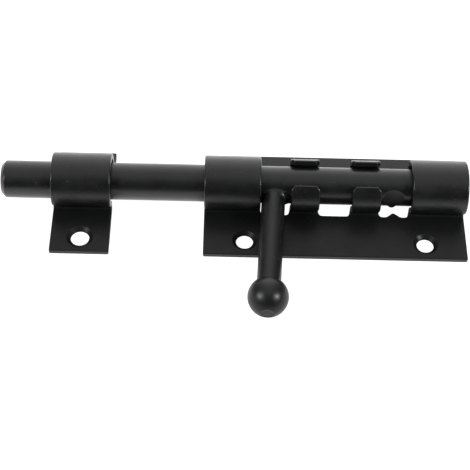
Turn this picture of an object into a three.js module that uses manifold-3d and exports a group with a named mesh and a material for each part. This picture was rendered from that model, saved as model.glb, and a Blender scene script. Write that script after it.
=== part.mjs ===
// Toggle bolt latch: a pressed base plate with two closed knuckles and two pairs of open fingers,
// a round bolt with a ball handle that turns and slides in it, and a loop keeper for the bolt tip.
// Millimetres. +X runs from the bolt tip along the bolt, -Y is the handle side, +Z rises from the door.
import * as THREE from 'three';
import { mergeVertices } from 'three/addons/utils/BufferGeometryUtils.js';
import Module from 'manifold-3d';

const wasm = await Module();
wasm.setup();

// ---- driving dimensions ----
// bolt
const BOLT_DIAMETER = 16.6;         // 16 mm bar with its paint, as it measures against the plate
const BOLT_LENGTH = 205;
const TIP_CHAMFER = 1.8;
const BACK_CHAMFER = 1;
const AXIS_HEIGHT = 10.9;           // bolt axis above the door face
// pressed sheet, the same section for base plate and keeper
const SHEET = 2.3;                  // thickness with its paint
const LOOP_RADIUS = 12.4;           // outside of the loop, from the sides up
const TUCK_RADIUS = 8;              // outside of the loop where it tucks in under the bolt
const BEND_RADIUS = 1.2;            // inside of the bend between loop and flange
const FRONT_REACH = 32.7;           // front flange edge from the bolt axis
const REAR_REACH = 23.7;            // rear flange edge from the bolt axis
// base plate, lengths along the bolt in order
const PLATE_START = 90.4;
const KNUCKLE = 24.8;               // closed loop at either end
const END_NOTCH = 13.6;             // the handle locks in the tip-side one and parks in the other
const FINGERS = 12.8;
const MIDDLE_NOTCH = 14.4;
const NOTCH_REACH = 10.1;           // notch edge in the flange from the bolt axis
const NOTCH_CORNER = 2;
const FRONT_FINGER_ANGLE = 51;      // degrees above the horizontal at the finger tip
const REAR_FINGER_ANGLE = 60;
const FINGER_CHAMFER_WIDE = 1.5;
const FINGER_CHAMFER_LONG = 2;
const FINGER_CLOSE = 0.7;           // how far the finger tips are pressed in towards the bolt
const FINGER_CLOSE_FULL = 40;       // degrees above the horizontal where they are in all the way
const BUMP_HEIGHT = 1.25;           // rounded bump left on the front edge of the open notch
const BUMP_WIDTH = 4.1;             // each way from the middle of the notch
const HOLE_INSET = 18.3;            // screw hole from the end of the plate
const HOLE_REACH = 24.8;            // screw hole from the bolt axis
const PLATE_HOLE = 7.6;
const COUNTERSINK = 10.8;
const HOLE_LAND = 1.2;              // straight part of the hole under the countersink
// keeper
const KEEPER_START = 22.7;
const KEEPER_LENGTH = 26.3;
const KEEPER_HOLE = 8.2;
const KEEPER_COUNTERSINK = 11.6;
// handle
const STEM_DIAMETER = 10.5;
const STEM_ROOT = 121.6;            // where the stem axis meets the bolt axis
const BALL_DIAMETER = 17.7;
const BALL_REACH = 59.2;            // ball centre from the bolt axis
const HANDLE_DROOP = 1.9;           // degrees below the horizontal, the ball just off the door
const HANDLE_LEAN = 2.7;            // degrees towards the bolt tip
const BALL_FLAT_RADIUS = 3;         // parted-off flat on the end of the ball
const SEAT_GAP = 0.3;               // space between the stem foot and the bolt
// staking on the bolt at the open notch
const STAKE_AT = 174.4;
const STAKE_RADIUS = 12;            // hollow across the bolt, front and rear
const STAKE_DEPTH = 1.1;
const STAKE_ANGLE = 13;             // degrees above the horizontal
const NUB_RADIUS = 1.7;             // pushed-up bead under the front hollow
const NUB_PROUD = 0.8;
const NUB_ANGLE = -38;

const BOLT_R = BOLT_DIAMETER / 2;
const FOOTPRINT_MIDDLE_Y = -21.9;   // middle of the whole latch between ball and rear flange
const PAST = 1;                     // how far a cutter runs on past the sheet it cuts
const FACETS = 48;                  // sides of a screw hole and of the handle
const FINE_FACETS = 96;             // sides of the cutters that leave long curves
const PLATE_LENGTH = 2 * (KNUCKLE + END_NOTCH + FINGERS) + MIDDLE_NOTCH;
const rad = THREE.MathUtils.degToRad;

// ---- closed bodies and booleans ----
function welded(geometry) {
  const g = geometry.clone();
  for (const name of Object.keys(g.attributes)) if (name !== 'position') g.deleteAttribute(name);
  const merged = mergeVertices(g, 1e-4);
  const index = merged.index.array;
  const kept = [];
  for (let i = 0; i < index.length; i += 3) {
    const [a, b, c] = [index[i], index[i + 1], index[i + 2]];
    if (a !== b && b !== c && c !== a) kept.push(a, b, c);
  }
  merged.setIndex(kept);
  return merged;
}

function toSolid(geometry) {
  const g = welded(geometry);
  return new wasm.Manifold(new wasm.Mesh({
    numProp: 3,
    vertProperties: new Float32Array(g.attributes.position.array),
    triVerts: new Uint32Array(g.index.array),
  }));
}

function toGeometry(solid) {
  const mesh = solid.getMesh();
  const g = new THREE.BufferGeometry();
  g.setAttribute('position', new THREE.Float32BufferAttribute(mesh.vertProperties, 3));
  g.setIndex(Array.from(mesh.triVerts));
  return g;
}

function cut(solid, cutters) {
  return cutters.reduce((left, cutter) => left.subtract(cutter), solid);
}

// ---- shapes ----
const ALONG_X = new THREE.Matrix4().makeBasis(
  new THREE.Vector3(0, 1, 0), new THREE.Vector3(0, 0, 1), new THREE.Vector3(1, 0, 0));

// a (y, z) outline drawn out along the bolt
function sweepX(outline, start, length) {
  const g = new THREE.ExtrudeGeometry(new THREE.Shape(outline), {
    depth: length, bevelEnabled: false, steps: 1,
  });
  return g.applyMatrix4(ALONG_X).translate(start, 0, 0);
}

// an (x, y) outline raised from z = low to z = high
function raise(outline, low, high) {
  const g = new THREE.ExtrudeGeometry(new THREE.Shape(outline), {
    depth: high - low, bevelEnabled: false, steps: 1,
  });
  return g.translate(0, 0, low);
}

function box(x0, x1, y0, y1, z0, z1) {
  return new THREE.BoxGeometry(x1 - x0, y1 - y0, z1 - z0)
    .translate((x0 + x1) / 2, (y0 + y1) / 2, (z0 + z1) / 2);
}

// points on an arc, both ends included, angles in degrees from +y towards +z
function arc(cy, cz, radius, from, to, steps) {
  return Array.from({ length: steps + 1 }, (_, i) => {
    const a = rad(from + (to - from) * i / steps);
    return new THREE.Vector2(cy + radius * Math.cos(a), cz + radius * Math.sin(a));
  });
}

// one face of the sheet section, from the front flange edge over the loop to the rear flange edge;
// inset 0 is the outside face, inset SHEET the inside face, and close brings the top of the loop in
function sheetFace(inset, close) {
  const tuckY = LOOP_RADIUS - TUCK_RADIUS;
  const bendZ = SHEET + BEND_RADIUS;
  const reach = TUCK_RADIUS + BEND_RADIUS;
  const drop = AXIS_HEIGHT - bendZ;
  const bendY = tuckY + Math.sqrt(reach * reach - drop * drop);
  const meet = THREE.MathUtils.radToDeg(Math.asin(drop / reach));
  const flat = SHEET - inset;
  const front = [
    new THREE.Vector2(-FRONT_REACH, flat),
    ...arc(-bendY, bendZ, BEND_RADIUS + inset, -90, meet, 10),
    ...arc(-tuckY, AXIS_HEIGHT, TUCK_RADIUS - inset, 180 + meet, 180, 8),
  ];
  const over = Array.from({ length: 39 }, (_, i) => {
    const a = 180 - 180 * (i + 1) / 40;
    const high = Math.min(a, 180 - a);
    const r = LOOP_RADIUS - inset - close * THREE.MathUtils.smoothstep(high, 0, FINGER_CLOSE_FULL);
    return new THREE.Vector2(r * Math.cos(rad(a)), AXIS_HEIGHT + r * Math.sin(rad(a)));
  });
  const rear = front.map((p) => new THREE.Vector2(-p.x, p.y)).reverse();
  rear[rear.length - 1].x = REAR_REACH;
  return [...front, ...over, ...rear];
}

function pressedSheet(start, length, close) {
  const section = [...sheetFace(0, close), ...sheetFace(SHEET, close).reverse()];
  return toSolid(sweepX(section, start, length));
}

// closed turned body from (radius, height) pairs, turned about +Z
function turned(profile, segments) {
  const points = profile.map(([r, h]) => new THREE.Vector2(r, h));
  return new THREE.LatheGeometry(points, segments).rotateX(Math.PI / 2);
}

function screwHole(x, y, hole, sink) {
  const shape = [
    [0, -PAST], [hole / 2, -PAST], [hole / 2, HOLE_LAND], [sink / 2, SHEET],
    [sink / 2, SHEET + PAST], [0, SHEET + PAST],
  ];
  return toSolid(turned(shape, FACETS).translate(x, y, 0));
}

// ---- base plate ----
// notch edge seen from above: rounded corners front and rear, and the bump where asked for
function notchOutline(x0, x1, bump) {
  const n = NOTCH_REACH;
  const r = NOTCH_CORNER;
  const mid = (x0 + x1) / 2;
  const corner = (cx, cy, from, to) => arc(cx, cy, r, from, to, 6);
  const frontEdge = [];
  if (bump) {
    const steps = 16;
    for (let i = 0; i <= steps; i += 1) {
      const u = i / steps * 2 - 1;
      const rise = BUMP_HEIGHT * (1 + Math.cos(Math.PI * u)) / 2;
      frontEdge.push(new THREE.Vector2(mid + u * BUMP_WIDTH, -n + rise));
    }
  }
  return [
    ...corner(x0 + r, -n + r, 180, 270), ...frontEdge, ...corner(x1 - r, -n + r, 270, 360),
    ...corner(x1 - r, n - r, 0, 90), ...corner(x0 + r, n - r, 90, 180),
  ];
}

// the outline goes through the flat sheet, and a box takes away the loop above it
function notch(x0, x1, bump) {
  const boxFrom = SHEET + 0.35;
  const wide = LOOP_RADIUS + PAST;
  const high = AXIS_HEIGHT + LOOP_RADIUS + PAST;
  return [
    toSolid(raise(notchOutline(x0, x1, bump), -PAST, boxFrom + 0.25)),
    toSolid(box(x0, x1, -wide, wide, boxFrom, high)),
  ];
}

// takes the corner off a finger tip: a wedge that points at the bolt axis
function fingerChamfer(x, side, angle, rear) {
  const w = FINGER_CHAMFER_WIDE;
  const l = FINGER_CHAMFER_LONG;
  const clear = 0.6;
  const outline = [
    new THREE.Vector2(-side * w, clear), new THREE.Vector2(-side * w, 0), new THREE.Vector2(0, -l),
    new THREE.Vector2(side * clear, -l), new THREE.Vector2(side * clear, clear),
  ];
  if (side < 0) outline.reverse();
  const g = raise(outline, LOOP_RADIUS - SHEET - PAST, LOOP_RADIUS + PAST);
  const a = rad(angle);
  const out = new THREE.Vector3(0, rear ? Math.cos(a) : -Math.cos(a), Math.sin(a));
  const up = new THREE.Vector3(0, rear ? -Math.sin(a) : Math.sin(a), Math.cos(a));
  const along = new THREE.Vector3().crossVectors(up, out);
  g.applyMatrix4(new THREE.Matrix4().makeBasis(along, up, out));
  return toSolid(g.translate(x, 0, AXIS_HEIGHT));
}

function basePlate() {
  const lock = PLATE_START + KNUCKLE;
  const left = lock + END_NOTCH;
  const middle = left + FINGERS;
  const right = middle + MIDDLE_NOTCH;
  const open = right + FINGERS;
  const knuckle = open + END_NOTCH;
  const far = 40;
  const f = rad(FRONT_FINGER_ANGLE);
  const b = rad(REAR_FINGER_ANGLE);
  const mouth = [
    new THREE.Vector2(0, AXIS_HEIGHT),
    new THREE.Vector2(far * Math.cos(b), AXIS_HEIGHT + far * Math.sin(b)),
    new THREE.Vector2(-far * Math.cos(f), AXIS_HEIGHT + far * Math.sin(f)),
  ];
  const cutters = [
    toSolid(sweepX(mouth, lock, knuckle - lock)),
    ...notch(lock, left, false),
    ...notch(middle, right, false),
    ...notch(open, knuckle, true),
  ];
  for (const [x0, x1] of [[left, middle], [right, open]]) {
    for (const [angle, rear] of [[FRONT_FINGER_ANGLE, false], [REAR_FINGER_ANGLE, true]]) {
      const flip = rear ? -1 : 1;
      cutters.push(fingerChamfer(x0, -1 * flip, angle, rear), fingerChamfer(x1, flip, angle, rear));
    }
  }
  for (const x of [PLATE_START + HOLE_INSET, PLATE_START + PLATE_LENGTH - HOLE_INSET]) {
    cutters.push(screwHole(x, -HOLE_REACH, PLATE_HOLE, COUNTERSINK));
  }
  // the sheet changes from knuckle to closed-in fingers inside the end notches
  const ends = END_NOTCH / 2;
  const blank = pressedSheet(PLATE_START, KNUCKLE + ends, 0)
    .add(pressedSheet(lock + ends, knuckle - lock - END_NOTCH, FINGER_CLOSE))
    .add(pressedSheet(knuckle - ends, KNUCKLE + ends, 0));
  return toGeometry(cut(blank, cutters));
}

// ---- keeper ----
function keeper() {
  const blank = pressedSheet(KEEPER_START, KEEPER_LENGTH, 0);
  const middle = KEEPER_START + KEEPER_LENGTH / 2;
  return toGeometry(cut(blank, [
    screwHole(middle, -HOLE_REACH, KEEPER_HOLE, KEEPER_COUNTERSINK),
  ]));
}

// ---- bolt ----
// direction from the bolt axis at an angle above the horizontal, on the front or the rear
function around(angle, rear) {
  const a = rad(angle);
  return new THREE.Vector3(0, (rear ? 1 : -1) * Math.cos(a), Math.sin(a));
}

function bolt() {
  const bar = turned([
    [0, 0], [BOLT_R - TIP_CHAMFER, 0], [BOLT_R, TIP_CHAMFER],
    [BOLT_R, BOLT_LENGTH - BACK_CHAMFER], [BOLT_R - BACK_CHAMFER, BOLT_LENGTH], [0, BOLT_LENGTH],
  ], 72).rotateY(Math.PI / 2).translate(0, 0, AXIS_HEIGHT);
  const stakes = [false, true].map((rear) => {
    const out = around(STAKE_ANGLE, rear);
    const side = new THREE.Vector3().crossVectors(out, new THREE.Vector3(1, 0, 0));
    const g = new THREE.CylinderGeometry(STAKE_RADIUS, STAKE_RADIUS, 30, FINE_FACETS);
    g.applyMatrix4(new THREE.Matrix4().makeBasis(new THREE.Vector3(1, 0, 0), side, out));
    const at = out.multiplyScalar(BOLT_R - STAKE_DEPTH + STAKE_RADIUS);
    return toSolid(g.translate(STAKE_AT + at.x, at.y, AXIS_HEIGHT + at.z));
  });
  const proud = around(NUB_ANGLE, false).multiplyScalar(BOLT_R + NUB_PROUD - NUB_RADIUS);
  const nub = new THREE.SphereGeometry(NUB_RADIUS, 24, 16)
    .translate(STAKE_AT, proud.y, AXIS_HEIGHT + proud.z);
  return toGeometry(cut(toSolid(bar), stakes).add(toSolid(nub)));
}

// ---- handle ----
function handle() {
  const ballR = BALL_DIAMETER / 2;
  const stemR = STEM_DIAMETER / 2;
  const start = Math.asin(stemR / ballR);
  const end = Math.PI - Math.asin(BALL_FLAT_RADIUS / ballR);
  const ball = Array.from({ length: 19 }, (_, i) => {
    const a = start + (end - start) * i / 18;
    return [ballR * Math.sin(a), BALL_REACH - ballR * Math.cos(a)];
  });
  const foot = BOLT_R - 4;
  const g = turned([[0, foot], [stemR, foot], ...ball, [0, ball[ball.length - 1][1]]], FACETS);
  // the turned body points along +Z: lay it towards -Y, then droop and lean it
  g.rotateX(Math.PI / 2).rotateX(rad(HANDLE_DROOP)).rotateZ(-rad(HANDLE_LEAN));
  g.translate(STEM_ROOT, 0, AXIS_HEIGHT);
  const seat = new THREE.CylinderGeometry(BOLT_R + SEAT_GAP, BOLT_R + SEAT_GAP, 60, FINE_FACETS)
    .rotateZ(Math.PI / 2).translate(STEM_ROOT, 0, AXIS_HEIGHT);
  return toGeometry(cut(toSolid(g), [toSolid(seat)]));
}

// ---- assembly ----
const PAINT = { metalness: 0.15, roughness: 0.45 };

// the origin is under the middle of the whole latch, on the door face
function part(name, geometry, color) {
  const flat = geometry.index ? geometry.toNonIndexed() : geometry;
  flat.translate(-(PLATE_START + PLATE_LENGTH) / 2, -FOOTPRINT_MIDDLE_Y, 0);
  flat.computeVertexNormals();
  const mesh = new THREE.Mesh(flat, new THREE.MeshStandardMaterial({ color, ...PAINT }));
  mesh.name = name;
  return mesh;
}

const latch = new THREE.Group();
latch.name = 'toggle_bolt_latch';
latch.add(
  part('base_plate', basePlate(), 0x17181a),
  part('keeper', keeper(), 0x17181a),
  part('bolt_bar', bolt(), 0x1c1d1f),
  part('handle', handle(), 0x1b1c1e),
);

export default latch;
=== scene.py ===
"""Toggle bolt latch: painted sheet, round bolt, turned handle and keeper, on a pale studio floor."""
import math

import bmesh
import bpy
from mathutils import Matrix, Vector, noise


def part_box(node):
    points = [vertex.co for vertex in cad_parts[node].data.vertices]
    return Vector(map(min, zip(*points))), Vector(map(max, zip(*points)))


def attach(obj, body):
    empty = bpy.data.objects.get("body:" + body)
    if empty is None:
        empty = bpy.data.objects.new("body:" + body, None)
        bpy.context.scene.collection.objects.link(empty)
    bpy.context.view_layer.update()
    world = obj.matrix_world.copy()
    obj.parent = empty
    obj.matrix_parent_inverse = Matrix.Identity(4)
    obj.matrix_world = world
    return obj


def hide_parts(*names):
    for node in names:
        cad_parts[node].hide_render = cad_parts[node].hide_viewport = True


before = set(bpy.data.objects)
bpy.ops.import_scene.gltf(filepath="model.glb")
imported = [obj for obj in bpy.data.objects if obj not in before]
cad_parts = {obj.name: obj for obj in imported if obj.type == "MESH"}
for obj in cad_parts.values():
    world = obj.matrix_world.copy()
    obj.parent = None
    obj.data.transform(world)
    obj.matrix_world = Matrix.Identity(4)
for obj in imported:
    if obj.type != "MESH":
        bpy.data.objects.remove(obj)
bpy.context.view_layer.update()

MM = 0.001

# ---- places and sizes in millimetres, from the CAD boxes ----
plate_low, plate_high = (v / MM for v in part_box("base_plate"))
keeper_low, keeper_high = (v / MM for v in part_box("keeper"))
bar_low, bar_high = (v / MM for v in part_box("bolt_bar"))
AXIS_Y = (bar_low.y + bar_high.y) / 2
AXIS_Z = (bar_low.z + bar_high.z) / 2
BOLT_R = (bar_high.z - bar_low.z) / 2
BAR_START = bar_low.x                  # bolt tip
LOOP_R = plate_high.z - AXIS_Z         # outside of the loop
FRONT = AXIS_Y - plate_low.y           # front flange edge from the bolt axis
REAR = plate_high.y - AXIS_Y           # rear flange edge from the bolt axis

# ---- sheet section and cut-outs ----
SHEET = 2.3
TUCK_R = 8.0
BEND_R = 1.2
BLANK_CORNER = 0.7
NOTCH_REACH = 10.1
NOTCH_CORNER = 2.0
# knuckle, lock notch, fingers, middle notch, fingers, open notch, knuckle; the first knuckle is
# 0.3 longer than the CAD's, which is cut back there to clear the stem's collision hull
PLATE_RUNS = (25.1, 13.3, 12.8, 14.4, 12.8, 13.6, 24.8)
FRONT_FINGER = math.radians(51)        # finger tips, from level with the bolt
REAR_FINGER = math.radians(60)
CHAMFER_WIDE = 1.5
CHAMFER_LONG = 2.0
CORNER_EASE = 0.45                     # rounding of the cut-out's sharp corners
CORNER_SHARE = 0.4                     # at most this much of a side goes into a rounding
CORNER_POINTS = 4
NEARLY_STRAIGHT = 0.9                  # cosine of a turn too small to be rounded
FINGER_CLOSE = 0.7
CLOSE_FULL = math.radians(40)
BUMP_HEIGHT = 1.25
BUMP_HALF = 3.9
BUMP_FULLNESS = 0.75                   # under 1, the bump is fuller than a cosine
BUMP_STEPS = 32
HOLE_INSET = 18.3
HOLE_REACH = 24.8
HOLE_POINTS = 56
HOLE_LAND = 1.2
PLATE_HOLE, PLATE_SINK = 7.6, 10.8
KEEPER_HOLE, KEEPER_SINK = 8.2, 11.6
OUTER_RIM = 0.6                        # rounding where the sheet was sheared, on the outside face
INNER_RIM = 0.25
SINK_RIM = 0.12

# ---- bolt ----
TIP_CHAMFER = 1.8
BACK_CHAMFER = 1.0
CHAMFER_EASE = 0.02                    # the chamfer stands back this much, for a soft edge
CORNER_DROP = 0.05
BACK_INNER = 3.0                       # last ring on the far end face
BOLT_AROUND = 168
BODY_START, BODY_STEP, STAKE_STEP = 6.0, 4.0, 0.3
STAKE_AT = 174.4
STAKE_HALF = 7.0
STAKE_R = 12.0
STAKE_DEPTH = 1.1
STAKE_BLEND = 0.12
STAKE_ANGLE = math.radians(13)
NUB_ANGLE = math.radians(-38)
NUB_SPREAD = 1.3
NUB_REACH = 1.35                       # in nub spreads
NUB_PROUD = 0.8
NUB_FULLNESS = 0.8

# ---- handle ----
HANDLE_AROUND = 96
STEM_ROOT = 121.6
STEM_R = 5.25
STEM_RINGS = (13.2, 17, 22, 30, 38, 45)
BALL_R = 8.85
BALL_REACH = 59.2
BALL_RINGS = 32
NECK_EASE = 0.25                       # the stem's last ring stops this far from the ball
DROOP = math.radians(1.9)
LEAN = math.radians(2.7)
FLAT_R = 3.0
# rings of the parted-off flat on the ball: radius, and depth below the flat
FLAT_RINGS = ((2.88, 0.02), (2.65, 0.04), (2.2, 0.1), (1.9, 0.06), (1.2, 0.12), (0.5, 0.06),
              (0.25, 0.02))

# ---- weld bead round the handle's foot, fuller on the stem's +X side ----
SEAT_GAP = 0.02
FOOT_SINK = 0.15
WELD_RINGS = 12
WELD_SQUARENESS = 0.35
WELD_WIDTH, WELD_RIGHT, WELD_LUMP = 0.8, 2.4, 0.25
WELD_RIGHT_POWER = 1.3
WELD_OVER, WELD_OVER_RIGHT, WELD_UNDER = 0.3, 0.1, 0.6
PUDDLE, PUDDLE_RIGHT, PUDDLE_LUMP, PUDDLE_GRAIN = 0.3, 0.35, 0.12, 0.08
PUDDLE_STEEPNESS = 1.8
CLIMB, CLIMB_POWER = 1.6, 4
LUMP_SCALE, LUMP_PLACE = 1.7, 3.1
GRAIN_SCALE, GRAIN_PLACE = 5, 8.4
BOLT_SIDE = BOLT_R * 0.96              # the bead goes no further round the bolt than this


# ---- mesh helpers ----
FLATNESS = 60                          # how far large faces rule the shading of their rims, 1 to 100


def add_mesh(name, verts, faces, material, body, node):
    """Makes a smooth-shaded piece from millimetre points and hangs it on its CAD body."""
    mesh = bpy.data.meshes.new(name)
    mesh.from_pydata([tuple(c * MM for c in v) for v in verts], [], faces)
    mesh.validate()
    mesh.polygons.foreach_set("use_smooth", [True] * len(mesh.polygons))
    mesh.materials.append(material)
    mesh.update()
    piece = bpy.data.objects.new(name, mesh)
    bpy.context.scene.collection.objects.link(piece)
    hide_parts(node)
    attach(piece, body)
    return piece


def weight_normals(piece, sharp=math.radians(35)):
    """Keeps large flat faces flat-looking next to their rounded rims."""
    mesh = piece.data
    work = bmesh.new()
    work.from_mesh(mesh)
    for edge in work.edges:
        edge.smooth = len(edge.link_faces) != 2 or edge.calc_face_angle(0) < sharp
    work.to_mesh(mesh)
    work.free()
    modifier = piece.modifiers.new("even_normals", "WEIGHTED_NORMAL")
    modifier.keep_sharp = True
    modifier.weight = FLATNESS


def bridge(rows, faces):
    """Joins rings of equal length with quads."""
    for a, b in zip(rows, rows[1:]):
        for i in range(len(a)):
            j = (i + 1) % len(a)
            faces.append((a[i], a[j], b[j], b[i]))


def capped(rows):
    """Faces of a closed tube through the rings."""
    faces = []
    bridge(rows, faces)
    faces.append(tuple(reversed(rows[0])))
    faces.append(tuple(rows[-1]))
    return faces


# ---- pressed sheet ----
def section_parts():
    """The outside face of the sheet from the front edge to the rear edge: (length, place)."""
    tuck_y = LOOP_R - TUCK_R
    bend_z = SHEET + BEND_R
    drop = AXIS_Z - bend_z
    reach = TUCK_R + BEND_R
    bend_y = tuck_y + math.sqrt(reach * reach - drop * drop)
    meet = math.asin(drop / reach)

    def flat(start):
        return lambda s, d: (start + s, SHEET - d)

    def arc(cy, cz, radius, begin, turn, side):
        # side 1: depth shrinks the radius (convex face), -1: depth grows it (hollow face)
        def place(s, d):
            a = begin + turn * s / radius
            r = radius - side * d
            return cy + r * math.cos(a), cz + r * math.sin(a)
        return place

    def over(s, d):
        a = math.pi - s / LOOP_R
        return (LOOP_R - d) * math.cos(a), AXIS_Z + (LOOP_R - d) * math.sin(a)

    half = math.pi / 2
    return [
        (FRONT - bend_y, flat(-FRONT)),
        (BEND_R * (meet + half), arc(-bend_y, bend_z, BEND_R, -half, 1, -1)),
        (TUCK_R * meet, arc(-tuck_y, AXIS_Z, TUCK_R, math.pi + meet, -1, 1)),
        (LOOP_R * math.pi, over),
        (TUCK_R * meet, arc(tuck_y, AXIS_Z, TUCK_R, 0, -1, 1)),
        (BEND_R * (meet + half), arc(bend_y, bend_z, BEND_R, math.pi - meet, 1, -1)),
        (REAR - bend_y, flat(bend_y)),
    ]


SECTION = section_parts()
SPAN = sum(length for length, _ in SECTION)
STARTS = [sum(length for length, _ in SECTION[:i]) for i in range(len(SECTION))]
STEPS = (0, 14, 14, 60, 14, 14, 0)     # bend lines in each run of the section
OVER = 3                               # the run of the section over the bolt
FINGERS_FROM = plate_low.x + PLATE_RUNS[0] + PLATE_RUNS[1] / 2
FINGERS_TO = plate_high.x - PLATE_RUNS[6] - PLATE_RUNS[5] / 2


def finger_closing(angle):
    """How far in a finger is, from 0 level with the bolt to 1 at the tips."""
    u = min(1.0, min(angle, math.pi - angle) / CLOSE_FULL)
    return u * u * (3 - 2 * u)


def on_sheet(x, s, depth):
    """A point of the sheet: x along the bolt, s along the outside face, depth into the sheet."""
    i = 0
    while i < len(SECTION) - 1 and s > STARTS[i + 1]:
        i += 1
    if i == OVER and FINGERS_FROM < x < FINGERS_TO:
        depth += FINGER_CLOSE * finger_closing((s - STARTS[i]) / LOOP_R)
    y, z = SECTION[i][1](s - STARTS[i], depth)
    return x, y + AXIS_Y, z


def bend_lines():
    """Where the flat blank is divided so that it bends smoothly."""
    lines = []
    for (length, _), start, count in zip(SECTION, STARTS, STEPS):
        if count:
            lines += [start + length * k / count for k in range(count + 1)]
    return sorted(set(round(v, 5) for v in lines))


def offset_loop(points, amount):
    """Moves a closed outline to its left by amount, mitred at its corners."""
    out = []
    count = len(points)
    for i, (x, s) in enumerate(points):
        px, ps = points[i - 1]
        nx, ns = points[(i + 1) % count]
        a = Vector((x - px, s - ps)).normalized()
        b = Vector((nx - x, ns - s)).normalized()
        left = Vector((-a.y - b.y, a.x + b.x)) / (1 + a.dot(b))
        out.append((x + left.x * amount, s + left.y * amount))
    return out


def arc_points(cx, cs, radius, begin, end, count):
    """Points of an arc on the flat blank, from one angle to another in degrees."""
    angles = [math.radians(begin + (end - begin) * k / count) for k in range(count + 1)]
    return [(cx + radius * math.cos(a), cs + radius * math.sin(a)) for a in angles]


def blank_edge(x0, x1):
    """The blank's outline, anticlockwise, with slightly eased corners."""
    r = BLANK_CORNER
    return (arc_points(x0 + r, r, r, 180, 270, 5) + arc_points(x1 - r, r, r, 270, 360, 5)
            + arc_points(x1 - r, SPAN - r, r, 0, 90, 5)
            + arc_points(x0 + r, SPAN - r, r, 90, 180, 5))


def hole_edge(x, radius):
    """A screw hole in the front flange, clockwise."""
    return arc_points(x, FRONT - HOLE_REACH, radius, 360, 0, HOLE_POINTS)[:-1]


def notch_bump(middle, near):
    """The rounded bump in the front edge of the open notch."""
    half = BUMP_STEPS / 2
    points = []
    for k in range(1, BUMP_STEPS):
        u = k / half - 1
        rise = (0.5 + 0.5 * math.cos(math.pi * u)) ** BUMP_FULLNESS
        points.append((middle + u * BUMP_HALF, near + BUMP_HEIGHT * rise))
    return points


def finger_tip(a, b, tip, back):
    """The chamfered end of a finger between two notches; back is the way to its root, 1 or -1."""
    root = tip + back * CHAMFER_LONG
    return [(a, root), (a + CHAMFER_WIDE, tip), (b - CHAMFER_WIDE, tip), (b, root)]


def track_edge(start):
    """The one opening made of the three notches and the track between the fingers, clockwise."""
    stops = [start]
    for run in PLATE_RUNS:
        stops.append(stops[-1] + run)
    notches = [(stops[1], stops[2]), (stops[3], stops[4]), (stops[5], stops[6])]
    front_tip = STARTS[OVER] + LOOP_R * FRONT_FINGER
    rear_tip = STARTS[OVER] + LOOP_R * (math.pi - REAR_FINGER)
    near = FRONT - NOTCH_REACH
    far = SPAN - (REAR - NOTCH_REACH)
    r = NOTCH_CORNER
    last = len(notches) - 1
    front, rear = [], []
    for i, (x0, x1) in enumerate(notches):
        front += arc_points(x0 + r, near + r, r, 180, 270, 8)
        if i == last:
            front += notch_bump((x0 + x1) / 2, near)
        front += arc_points(x1 - r, near + r, r, 270, 360, 8)
        rear += arc_points(x0 + r, far - r, r, 180, 90, 8)
        rear += arc_points(x1 - r, far - r, r, 90, 0, 8)
        if i < last:
            front += finger_tip(x1, notches[i + 1][0], front_tip, -1)
            rear += finger_tip(x1, notches[i + 1][0], rear_tip, 1)
    return soften(front + rear[::-1], CORNER_EASE)[::-1]


def soften(points, cut):
    """Rounds the sharp corners of an outline."""
    out = []
    count = len(points)
    for i, p in enumerate(points):
        p = Vector(p)
        a, b = Vector(points[i - 1]), Vector(points[(i + 1) % count])
        if (p - a).normalized().dot((b - p).normalized()) > NEARLY_STRAIGHT:
            out.append(tuple(p))
            continue
        enter = p + (a - p).normalized() * min(cut, (a - p).length * CORNER_SHARE)
        leave = p + (b - p).normalized() * min(cut, (b - p).length * CORNER_SHARE)
        for k in range(CORNER_POINTS + 1):
            t = k / CORNER_POINTS
            out.append(tuple(enter * (1 - t) ** 2 + p * 2 * t * (1 - t) + leave * t * t))
    return out


def quarter_turn(radius, steps):
    """(outward, down) steps of a quarter circle from flat to upright."""
    angles = [math.pi / 2 * k / steps for k in range(steps + 1)]
    return [(radius * math.sin(a), radius * (1 - math.cos(a))) for a in angles]


def rim_profile():
    """(outward, depth) steps round a cut edge from the outside face to the inside face."""
    under = [(OUTER_RIM - INNER_RIM + o, SHEET - d) for o, d in quarter_turn(INNER_RIM, 3)]
    return quarter_turn(OUTER_RIM, 6) + under[::-1]


def sink_profile(hole, sink):
    """(inward, depth) steps down a countersunk hole, its edges eased by a tenth of a millimetre."""
    wide = SINK_RIM + (sink - hole) / 2
    cone = SHEET - HOLE_LAND
    return [(0, 0), (SINK_RIM * 0.7, SINK_RIM * 0.2), (SINK_RIM * 1.4, SINK_RIM),
            (wide - 0.12, cone - 0.1), (wide, cone + 0.1), (wide, SHEET - 0.2),
            (wide - 0.06, SHEET - 0.06), (wide - 0.2, SHEET)]


def flat_blank(outlines):
    """The blank filled between its outlines and divided along its bend lines."""
    flat = bmesh.new()
    for points in outlines:
        ring = [flat.verts.new((x, s, 0)) for x, s in points]
        for i, v in enumerate(ring):
            flat.edges.new((v, ring[(i + 1) % len(ring)]))
    bmesh.ops.triangle_fill(flat, use_beauty=True, use_dissolve=False, edges=flat.edges[:],
                            normal=(0, 0, 1))
    for s in bend_lines():
        bmesh.ops.bisect_plane(flat, geom=flat.verts[:] + flat.edges[:] + flat.faces[:],
                               dist=1e-5, plane_co=(0, s, 0), plane_no=(0, 1, 0))
    for face in flat.faces:
        if face.normal.z < 0:
            face.normal_flip()
    flat.verts.index_update()
    return flat


def edge_rings(flat):
    """The blank's outlines as rings of vertex numbers."""
    following = {}
    for face in flat.faces:
        for corner in face.loops:
            if len(corner.edge.link_faces) == 1:
                following[corner.vert.index] = corner.link_loop_next.vert.index
    rings = []
    left = set(following)
    while left:
        ring = [min(left)]
        while following[ring[-1]] != ring[0]:
            ring.append(following[ring[-1]])
        left -= set(ring)
        rings.append(ring)
    return rings


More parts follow.
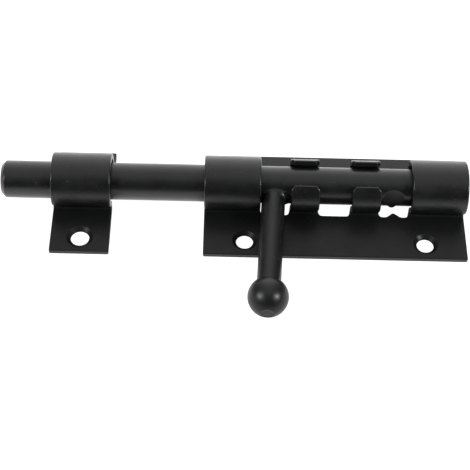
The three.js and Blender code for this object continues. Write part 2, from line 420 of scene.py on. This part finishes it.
def pressed_sheet(x0, x1, track, holes):
    """Vertices and faces of a sheet bent to the section, with rounded cut edges."""
    outlines = [offset_loop(blank_edge(x0, x1), OUTER_RIM)]
    if track:
        outlines.append(offset_loop(track, OUTER_RIM))
    for x, _, sink in holes:
        outlines.append(offset_loop(hole_edge(x, sink / 2), SINK_RIM))
    flat = flat_blank(outlines)
    points = [(v.co.x, v.co.y) for v in flat.verts]
    count = len(points)
    verts = [on_sheet(x, s, 0) for x, s in points] + [on_sheet(x, s, SHEET) for x, s in points]
    faces = [tuple(v.index for v in face.verts) for face in flat.faces]
    faces += [tuple(v.index + count for v in reversed(face.verts)) for face in flat.faces]
    rings = edge_rings(flat)
    flat.free()
    for ring in rings:
        outline = [points[i] for i in ring]
        pushed = offset_loop(outline, -1)
        out = [(b[0] - a[0], b[1] - a[1]) for a, b in zip(outline, pushed)]
        profile = rim_profile()
        for x, hole, sink in holes:
            if all(abs(p[0] - x) < sink for p in outline):
                profile = sink_profile(hole, sink)
        rows = [ring]
        for o, d in profile[1:-1]:
            rows.append(list(range(len(verts), len(verts) + len(ring))))
            verts += [on_sheet(p[0] + n[0] * o, p[1] + n[1] * o, d) for p, n in zip(outline, out)]
        o, d = profile[-1]
        for i, p, n in zip(ring, outline, out):
            verts[i + count] = on_sheet(p[0] + n[0] * o, p[1] + n[1] * o, d)
        rows.append([i + count for i in ring])
        for a, b in zip(rows, rows[1:]):
            for i in range(len(ring)):
                j = (i + 1) % len(ring)
                faces.append((a[i], b[i], b[j], a[j]))
    return verts, faces


# ---- round bolt ----
def smooth_min(a, b, k):
    """The smaller of two values, blended over k where they meet."""
    h = max(0.0, min(1.0, 0.5 + 0.5 * (b - a) / k))
    return b * (1 - h) + a * h - k * h * (1 - h)


def bar_radius(x, angle):
    """The bolt's radius at a distance from its tip, with the staking marks and nub."""
    r = BOLT_R
    dx = x - STAKE_AT
    if abs(dx) < STAKE_HALF:
        hollow = BOLT_R - STAKE_DEPTH + STAKE_R - math.sqrt(STAKE_R ** 2 - dx * dx)
        for at in (STAKE_ANGLE, math.pi - STAKE_ANGLE):
            c = math.cos(angle - at)
            if c > 0.5:                # only on the side of the hollow
                r = smooth_min(r, hollow / c, STAKE_BLEND)
        turn = (angle - NUB_ANGLE + math.pi) % (2 * math.pi) - math.pi
        far = math.hypot(dx, BOLT_R * turn) / NUB_SPREAD
        if far < NUB_REACH:
            fall = math.cos(min(far, NUB_REACH) / NUB_REACH * math.pi / 2)
            r += NUB_PROUD * max(0.0, fall) ** NUB_FULLNESS
    return r


def bolt_mesh():
    """Vertices and faces of the bolt, ring by ring from its chamfered tip.

    Rings a few tenths of a millimetre apart hold the shape at each corner.
    """
    length = bar_high.x - bar_low.x
    angles = [2 * math.pi * k / BOLT_AROUND for k in range(BOLT_AROUND)]
    verts, rows = [], []

    def ring(x, radii):
        rows.append(list(range(len(verts), len(verts) + BOLT_AROUND)))
        for a, r in zip(angles, radii):
            verts.append((BAR_START + x, AXIS_Y - r * math.cos(a), AXIS_Z + r * math.sin(a)))

    c = TIP_CHAMFER
    face_r = BOLT_R - c
    tip = [(0.0, face_r * 0.5), (0.0, face_r * 0.9), (0.05, face_r - CHAMFER_EASE)]
    tip += [(x, face_r + x - CHAMFER_EASE) for x in (0.18, c * 0.5, c - 0.25)]
    tip += [(c + 0.05, BOLT_R - CORNER_DROP), (c + 0.35, BOLT_R)]
    for x, r in tip:
        ring(x, [r] * BOLT_AROUND)
    x = BODY_START
    while x < length - 2 * BACK_CHAMFER:
        ring(x, [bar_radius(x, a) for a in angles])
        x += STAKE_STEP if abs(x - STAKE_AT) < STAKE_HALF else BODY_STEP
    c = BACK_CHAMFER
    for x, r in ((length - c - 0.3, BOLT_R), (length - c, BOLT_R - CORNER_DROP),
                 (length - 0.1, BOLT_R - c + 0.1), (length, BOLT_R - c - 0.1),
                 (length, BACK_INNER)):
        ring(x, [r] * BOLT_AROUND)
    return verts, capped(rows)


# ---- handle ----
def weld_point(c, d, f):
    """Where the bead is, from the bolt (f 0) up to the stem (f 1), round the stem at (c, d).

    Gives the place across the stem (p, q) and the rise above the bolt.
    """
    right = max(0.0, c)
    lump = noise.noise(Vector((c * LUMP_SCALE, d * LUMP_SCALE, LUMP_PLACE + f)))
    grain = noise.noise(Vector((c * GRAIN_SCALE, d * GRAIN_SCALE, GRAIN_PLACE + 2 * f)))
    wide = WELD_WIDTH + WELD_RIGHT * right ** WELD_RIGHT_POWER + WELD_LUMP * lump
    high = (WELD_OVER if d > 0 else WELD_UNDER) + WELD_OVER_RIGHT * right * max(0.0, d)
    square = 1 / max(abs(c), abs(d)) ** WELD_SQUARENESS
    p0 = (STEM_R + wide) * c * square
    q0 = (STEM_R + high) * d * square
    p = p0 + (STEM_R * c - p0) * f
    q = max(-BOLT_SIDE, min(BOLT_SIDE, q0 + (STEM_R * d - q0) * f))
    puddle = PUDDLE + PUDDLE_RIGHT * right + PUDDLE_LUMP * lump + PUDDLE_GRAIN * grain
    rise = puddle * math.sin(min(1.0, PUDDLE_STEEPNESS * f) * math.pi / 2) + CLIMB * f ** CLIMB_POWER
    return p, q, rise


def ball_profile():
    """(radius, distance along the handle) from the stem's end over the ball to the flat."""
    stem_end = BALL_REACH - math.sqrt(BALL_R ** 2 - STEM_R ** 2)
    start = math.asin(STEM_R / BALL_R)
    end = math.pi - math.asin(FLAT_R / BALL_R)
    profile = [(STEM_R, t) for t in (*STEM_RINGS, stem_end - NECK_EASE)]
    profile.append((STEM_R + 0.03, stem_end - 0.02))
    for k in range(1, BALL_RINGS + 1):
        a = start + (end - start) * k / BALL_RINGS
        profile.append((BALL_R * math.sin(a), BALL_REACH - BALL_R * math.cos(a)))
    flat = profile[-1][1]
    return profile + [(r, flat - depth) for r, depth in FLAT_RINGS]


def handle_mesh():
    """Vertices and faces of the handle: weld bead, stem and ball in one skin."""
    forward = Vector((-math.sin(LEAN), -math.cos(LEAN) * math.cos(DROOP),
                      -math.cos(LEAN) * math.sin(DROOP)))
    side = Vector((1, 0, 0))
    side = (side - forward * side.dot(forward)).normalized()
    up = side.cross(forward)
    if up.z < 0:
        up = -up
    root = Vector((BAR_START + STEM_ROOT, AXIS_Y, AXIS_Z))
    turns = [2 * math.pi * k / HANDLE_AROUND for k in range(HANDLE_AROUND)]
    verts, rows = [], []

    def seat(p, q):
        """Distance along the handle at which the line at (p, q) leaves the bolt."""
        base = root + side * p + up * q
        y, z = base.y - AXIS_Y, base.z - AXIS_Z
        a = forward.y ** 2 + forward.z ** 2
        b = y * forward.y + z * forward.z
        c = y * y + z * z - (BOLT_R + SEAT_GAP) ** 2
        return (-b + math.sqrt(max(b * b - a * c, 0))) / a

    def ring(places):
        rows.append(list(range(len(verts), len(verts) + HANDLE_AROUND)))
        for p, q, t in places:
            verts.append(tuple(root + side * p + up * q + forward * t))

    for j in range(WELD_RINGS + 1):
        bead = [weld_point(math.cos(a), math.sin(a), j / WELD_RINGS) for a in turns]
        ring([(p, q, seat(p, q) + (rise if j else -FOOT_SINK)) for p, q, rise in bead])
    for r, t in ball_profile():
        ring([(r * math.cos(a), r * math.sin(a), t) for a in turns])
    return verts, capped(rows)


# ---- shader wiring ----
class Wiring:
    """Adds shader nodes to a tree and joins them up; a value is a node's output or a plain one."""

    def __init__(self, tree):
        self.nodes, self.links = tree.nodes, tree.links

    def feed(self, socket, value):
        if isinstance(value, bpy.types.NodeSocket):
            self.links.new(value, socket)
        else:
            socket.default_value = value

    def place(self, kind):
        """Where a point is in the object's own metres, or which way the world is looked at."""
        return self.nodes.new("ShaderNodeTexCoord").outputs[kind]

    def math(self, operation, *values):
        node = self.nodes.new("ShaderNodeMath")
        node.operation = operation
        for socket, value in zip(node.inputs, values):
            self.feed(socket, value)
        return node.outputs[0]

    def vector(self, operation, a, b):
        node = self.nodes.new("ShaderNodeVectorMath")
        node.operation = operation
        self.feed(node.inputs[0], a)
        self.feed(node.inputs[1], b)
        return node.outputs["Value" if operation == "DOT_PRODUCT" else "Vector"]

    def span(self, value, start, end, low=0.0, high=1.0):
        """Goes evenly from low to high while the value goes from start to end."""
        node = self.nodes.new("ShaderNodeMapRange")
        for name, number in (("From Min", start), ("From Max", end), ("To Min", low),
                             ("To Max", high)):
            node.inputs[name].default_value = number
        self.links.new(value, node.inputs["Value"])
        return node.outputs["Result"]

    def noise(self, place, scale, detail, roughness=0.6):
        node = self.nodes.new("ShaderNodeTexNoise")
        node.inputs["Scale"].default_value = scale
        node.inputs["Detail"].default_value = detail
        node.inputs["Roughness"].default_value = roughness
        self.links.new(place, node.inputs["Vector"])
        return node.outputs["Fac"]

    def stretch(self, place, scale):
        node = self.nodes.new("ShaderNodeMapping")
        node.inputs["Scale"].default_value = scale
        self.links.new(place, node.inputs["Vector"])
        return node.outputs["Vector"]

    def ramp(self, value, stops):
        """Colours by position: stops are (position, colour)."""
        node = self.nodes.new("ShaderNodeValToRGB")
        elements = node.color_ramp.elements
        while len(elements) < len(stops):
            elements.new(0.5)
        for element, (position, colour) in zip(elements, stops):
            element.position = position
            element.color = colour
        self.links.new(value, node.inputs["Fac"])
        return node.outputs["Color"]

    def mix(self, a, b, factor):
        """Colour a where the factor is 0, colour b where it is 1."""
        node = self.nodes.new("ShaderNodeMix")
        node.data_type = "RGBA"
        self.feed(node.inputs["Factor"], factor)
        self.feed(node.inputs[6], a)
        self.feed(node.inputs[7], b)
        return node.outputs[2]

    def bump(self, height, strength, depth, normal=None):
        node = self.nodes.new("ShaderNodeBump")
        node.inputs["Strength"].default_value = strength
        node.inputs["Distance"].default_value = depth
        self.links.new(height, node.inputs["Height"])
        if normal:
            self.links.new(normal, node.inputs["Normal"])
        return node.outputs["Normal"]

    def white_to_camera(self, value, socket, white):
        """Plain white where the camera sees the surround itself, shaped light everywhere else."""
        ray = self.nodes.new("ShaderNodeLightPath")
        choice = self.nodes.new("ShaderNodeMix")
        self.links.new(ray.outputs["Is Camera Ray"], choice.inputs["Factor"])
        self.links.new(value, choice.inputs["A"])
        choice.inputs["B"].default_value = white
        self.links.new(choice.outputs["Result"], socket)


def grey(v):
    """A grey colour."""
    return (v, v, v, 1)


def lighter(base, factor, lift=0.0):
    """A darker or lighter tone of a base colour."""
    return (*[min(1, c * factor + lift) for c in base], 1)


# ---- paint ----
IOR = 1.5
TONE_SCALE, GLOSS_SCALE, BROAD_SCALE = 60, 130, 420        # per metre
SPECK_SCALE, LINE_SCALE = 1500, 900
FINE_DEPTH, BROAD_DEPTH = 0.00006, 0.00012                 # metres
BROAD_STRENGTH = 0.25
# how much lighter the front flange's face colour is made, and how much of that lift the face takes
FACE_LIFT, FACE_LIFT_SHARE = 0.0028, 0.8
# the front flange's face lies below a height that rises towards the front
FACE_SLANT = (0, 0.15, 1)
FACE_LOW, FACE_HIGH = 0.0042, 0.0066
SHEARED_FROM, SHEARED_TO = 0.0006, 0.0001                  # metres in from the front edge


def paint(name, base, rough, texture, grain, scratch, shine, face_shine=None):
    """Black paint on steel: uneven colour and gloss, fine texture, dust and faint wear."""
    material = bpy.data.materials.new(name)
    material.use_nodes = True
    shader = material.node_tree.nodes["Principled BSDF"]
    wires = Wiring(material.node_tree)
    place = wires.place("Object")
    tone = wires.ramp(wires.noise(place, TONE_SCALE, 4),
                      ((0.3, lighter(base, 0.8)), (0.7, lighter(base, 1.25))))
    specks = wires.ramp(wires.noise(place, SPECK_SCALE, 2, 0.4), ((0.70, grey(0)), (0.76, grey(1))))
    lines = wires.ramp(wires.noise(wires.stretch(place, scratch), LINE_SCALE, 3),
                       ((0.66, grey(0)), (0.78, grey(1))))
    worn = wires.mix(tone, lighter(base, 3.2, 0.02), specks)
    colour = wires.mix(worn, lighter(base, 2.2, 0.008), lines)
    gloss = wires.ramp(wires.noise(place, GLOSS_SCALE, 5),
                       ((0.25, grey(rough - 0.07)), (0.75, grey(rough + 0.08))))
    wires.feed(shader.inputs["Roughness"], wires.mix(gloss, grey(min(1, rough + 0.3)), specks))
    if face_shine is not None:
        # the front flange's face: less shine and a slightly lighter colour
        off_face = away_from_face(wires, place)
        shine = wires.span(off_face, 0, 1, face_shine, shine)
        colour = wires.mix(colour, lighter(base, 1, FACE_LIFT), wires.span(off_face, 0, 1, FACE_LIFT_SHARE, 0.0))
    wires.feed(shader.inputs["Base Color"], colour)
    wires.feed(shader.inputs["Specular IOR Level"], shine)
    shader.inputs["Metallic"].default_value = 0.0
    shader.inputs["IOR"].default_value = IOR
    broad = wires.bump(wires.noise(place, BROAD_SCALE, 2), BROAD_STRENGTH, BROAD_DEPTH)
    fine = wires.bump(wires.noise(place, grain, 3, 0.55), texture, FINE_DEPTH, broad)
    wires.feed(shader.inputs["Normal"], fine)
    return material


def away_from_face(wires, place):
    """0 on the front flange's face, which is given less shine and a slightly lighter colour, and 1
    on the loops, the rear flange and the sheared front edge."""
    edge = -plate_low.y * MM
    above = wires.span(wires.vector("DOT_PRODUCT", place, FACE_SLANT), FACE_LOW, FACE_HIGH)
    sheared = wires.span(wires.vector("DOT_PRODUCT", place, (0, -1, 0)),
                         edge - SHEARED_FROM, edge - SHEARED_TO)
    return wires.math("MAXIMUM", above, sheared)


sheet_paint = paint("sheet_paint", base=(0.0046, 0.0048, 0.0053), rough=0.33, texture=0.85,
                    grain=1500, scratch=(0.3, 1, 1), shine=0.52, face_shine=0.21)
bar_paint = paint("bar_paint", base=(0.0056, 0.0058, 0.0063), rough=0.33, texture=0.25,
                  grain=1900, scratch=(0.05, 1, 1), shine=0.5)
handle_paint = paint("handle_paint", base=(0.0060, 0.0062, 0.0067), rough=0.35, texture=0.3,
                     grain=1900, scratch=(1, 0.2, 1), shine=0.40)

# ---- pieces ----
plate_holes = [(x, PLATE_HOLE, PLATE_SINK)
               for x in (plate_low.x + HOLE_INSET, plate_high.x - HOLE_INSET)]
verts, faces = pressed_sheet(plate_low.x, plate_high.x, track_edge(plate_low.x), plate_holes)
weight_normals(add_mesh("pressed_base_plate", verts, faces, sheet_paint,
                        "base", "base_plate"))

keeper_holes = [((keeper_low.x + keeper_high.x) / 2, KEEPER_HOLE, KEEPER_SINK)]
verts, faces = pressed_sheet(keeper_low.x, keeper_high.x, None, keeper_holes)
weight_normals(add_mesh("pressed_keeper", verts, faces, sheet_paint, "keeper", "keeper"))

verts, faces = bolt_mesh()
weight_normals(add_mesh("round_bolt", verts, faces, bar_paint, "bolt", "bolt_bar"))

verts, faces = handle_mesh()
weight_normals(add_mesh("ball_handle", verts, faces, handle_paint, "handle", "handle"))

# ---- floor: it glows, less so towards the front, with painted shadow in its glow under the sheets; metres ----
FLOOR_SIZE = 6.0
FLOOR_DROP = 0.0002
FLOOR_GREY = 0.35
FLOOR_WHITE = 0.97
GLOW_FRONT, GLOW_BACK = -0.08, 0.03
GLOW_DIM, GLOW_FULL = 0.3, 1.5
# painted shadow under the sheets: how far it reaches in from and out past their edges, and how dark
# it is
SHADE_INSIDE, SHADE_OUTSIDE, SHADE = 0.006, 0.004, 0.05


def make_floor():
    """A pale glowing plane just under the latch, plain white to the camera, its glow darkened under
    the sheets as painted shadow.
    """
    bpy.ops.mesh.primitive_plane_add(size=FLOOR_SIZE, location=(0, 0, -FLOOR_DROP))
    floor = bpy.context.object
    floor.name = "floor"
    material = bpy.data.materials.new("floor_white")
    material.use_nodes = True
    shader = material.node_tree.nodes["Principled BSDF"]
    shader.inputs["Base Color"].default_value = grey(FLOOR_GREY)
    shader.inputs["Roughness"].default_value = 0.9
    shader.inputs["Emission Color"].default_value = grey(1)
    wires = Wiring(material.node_tree)
    place = wires.place("Object")
    glow = wires.span(wires.vector("DOT_PRODUCT", place, (0, 1, 0)),
                      GLOW_FRONT, GLOW_BACK, GLOW_DIM, GLOW_FULL)
    # painted shadow: the glow is cut down under the plate and under the keeper
    for low, high in ((plate_low, plate_high), (keeper_low, keeper_high)):
        glow = wires.math("MULTIPLY", glow, painted_shadow_mask(wires, place, low * MM, high * MM))
    wires.white_to_camera(glow, shader.inputs["Emission Strength"], FLOOR_WHITE)
    floor.data.materials.append(material)


def painted_shadow_mask(wires, place, low, high):
    """Painted shadow in the floor's glow: nearly dark under a box seen from above, and 1 outside it.
    """
    middle, half = (low + high) / 2, (high - low) / 2
    moved = wires.vector("SUBTRACT", place, middle)
    beside = []
    for axis, reach in (((1, 0, 0), half.x), ((0, 1, 0), half.y)):
        away = wires.math("ABSOLUTE", wires.vector("DOT_PRODUCT", moved, axis))
        beside.append(wires.span(away, reach - SHADE_INSIDE, reach + SHADE_OUTSIDE, SHADE, 1.0))
    return wires.math("MAXIMUM", *beside)


make_floor()

# ---- studio: dark in front, bright behind the object, darker to both sides ----
STUDIO_TILT = math.radians(80)         # the brightest side is this far back from straight up
# (direction along the bright side from -1 to 1, brightness)
STUDIO_LIGHT = ((-1.0, 0.02), (-0.5, 0.06), (-0.33, 0.12), (-0.14, 0.62), (0.6, 1.0), (0.85, 1.45),
                (1.0, 1.75))
BRIGHTEST = 2.0                        # a ramp holds 0 to 1, so it is scaled up by this
SIDE_FROM, SIDE_TO, SIDE_LIGHT = 0.2, 0.78, 0.15


def make_studio():
    """Soft light from all round, shaped for the paint's reflections."""
    world = bpy.data.worlds.new("studio")
    bpy.context.scene.world = world
    world.use_nodes = True
    wires = Wiring(world.node_tree)
    facing = wires.place("Generated")
    back = (0, math.sin(STUDIO_TILT), math.cos(STUDIO_TILT))
    behind = wires.ramp(wires.span(wires.vector("DOT_PRODUCT", facing, back), -1.0, 1.0),
                        [((at + 1) / 2, grey(light / BRIGHTEST)) for at, light in STUDIO_LIGHT])
    sideways = wires.math("ABSOLUTE", wires.vector("DOT_PRODUCT", facing, (1, 0, 0)))
    level = wires.math("MULTIPLY", wires.math("MULTIPLY", behind, BRIGHTEST),
                       wires.span(sideways, SIDE_FROM, SIDE_TO, 1.0, SIDE_LIGHT))
    background = world.node_tree.nodes["Background"]
    background.inputs["Color"].default_value = grey(1)
    wires.white_to_camera(level, background.inputs["Strength"], 1.0)


make_studio()

# ---- two soft boxes, for the highlights on the ball ----
BOX_PLACES = {"left_box": (-0.91, -0.44, 0.74), "right_box": (0.91, -0.44, 0.74)}
BOX_SIZE = 0.3
BOX_WATTS = 8.5


def soft_box(name, place):
    """A square lamp aimed at the middle of the latch."""
    data = bpy.data.lights.new(name, "AREA")
    data.energy = BOX_WATTS
    data.size = BOX_SIZE
    lamp = bpy.data.objects.new(name, data)
    lamp.location = place
    lamp.rotation_euler = (-Vector(place)).to_track_quat("-Z", "Y").to_euler()
    bpy.context.scene.collection.objects.link(lamp)


for name, place in BOX_PLACES.items():
    soft_box(name, place)

# ---- camera: placed by its distance and height angle from a point on the bolt, then aimed ----
CAMERA_POINT = Vector((-0.00434, AXIS_Y * MM, AXIS_Z * MM + 0.0001))
CAMERA_DISTANCE = 0.59
CAMERA_HEIGHT = math.radians(51.45)
AIM_DOWN = math.radians(53.68)
AIM_TURN = math.radians(0.86)
AIM_ROLL = math.radians(1.95)
FOCAL = 100.75
SENSOR = 36
NEAR_CLIP = 0.01


def direction(down, turn):
    """A unit vector that looks down and turns to the right from +Y."""
    return Vector((math.sin(turn) * math.cos(down), math.cos(turn) * math.cos(down),
                   -math.sin(down)))


def make_camera():
    """Looks at the latch from above and in front, rolled a little."""
    data = bpy.data.cameras.new("camera")
    data.lens = FOCAL
    data.sensor_width = SENSOR
    data.clip_start = NEAR_CLIP
    camera = bpy.data.objects.new("camera", data)
    bpy.context.scene.collection.objects.link(camera)
    aim = direction(AIM_DOWN, AIM_TURN)
    level_right = aim.cross(Vector((0, 0, 1))).normalized()
    level_up = level_right.cross(aim)
    right = level_right * math.cos(AIM_ROLL) + level_up * math.sin(AIM_ROLL)
    up = -level_right * math.sin(AIM_ROLL) + level_up * math.cos(AIM_ROLL)
    turned = Matrix((right, up, -aim)).transposed().to_4x4()
    spot = CAMERA_POINT - direction(CAMERA_HEIGHT, 0) * CAMERA_DISTANCE
    camera.matrix_world = Matrix.Translation(spot) @ turned
    bpy.context.scene.camera = camera


make_camera()
bpy.context.scene.view_settings.view_transform = "Standard"
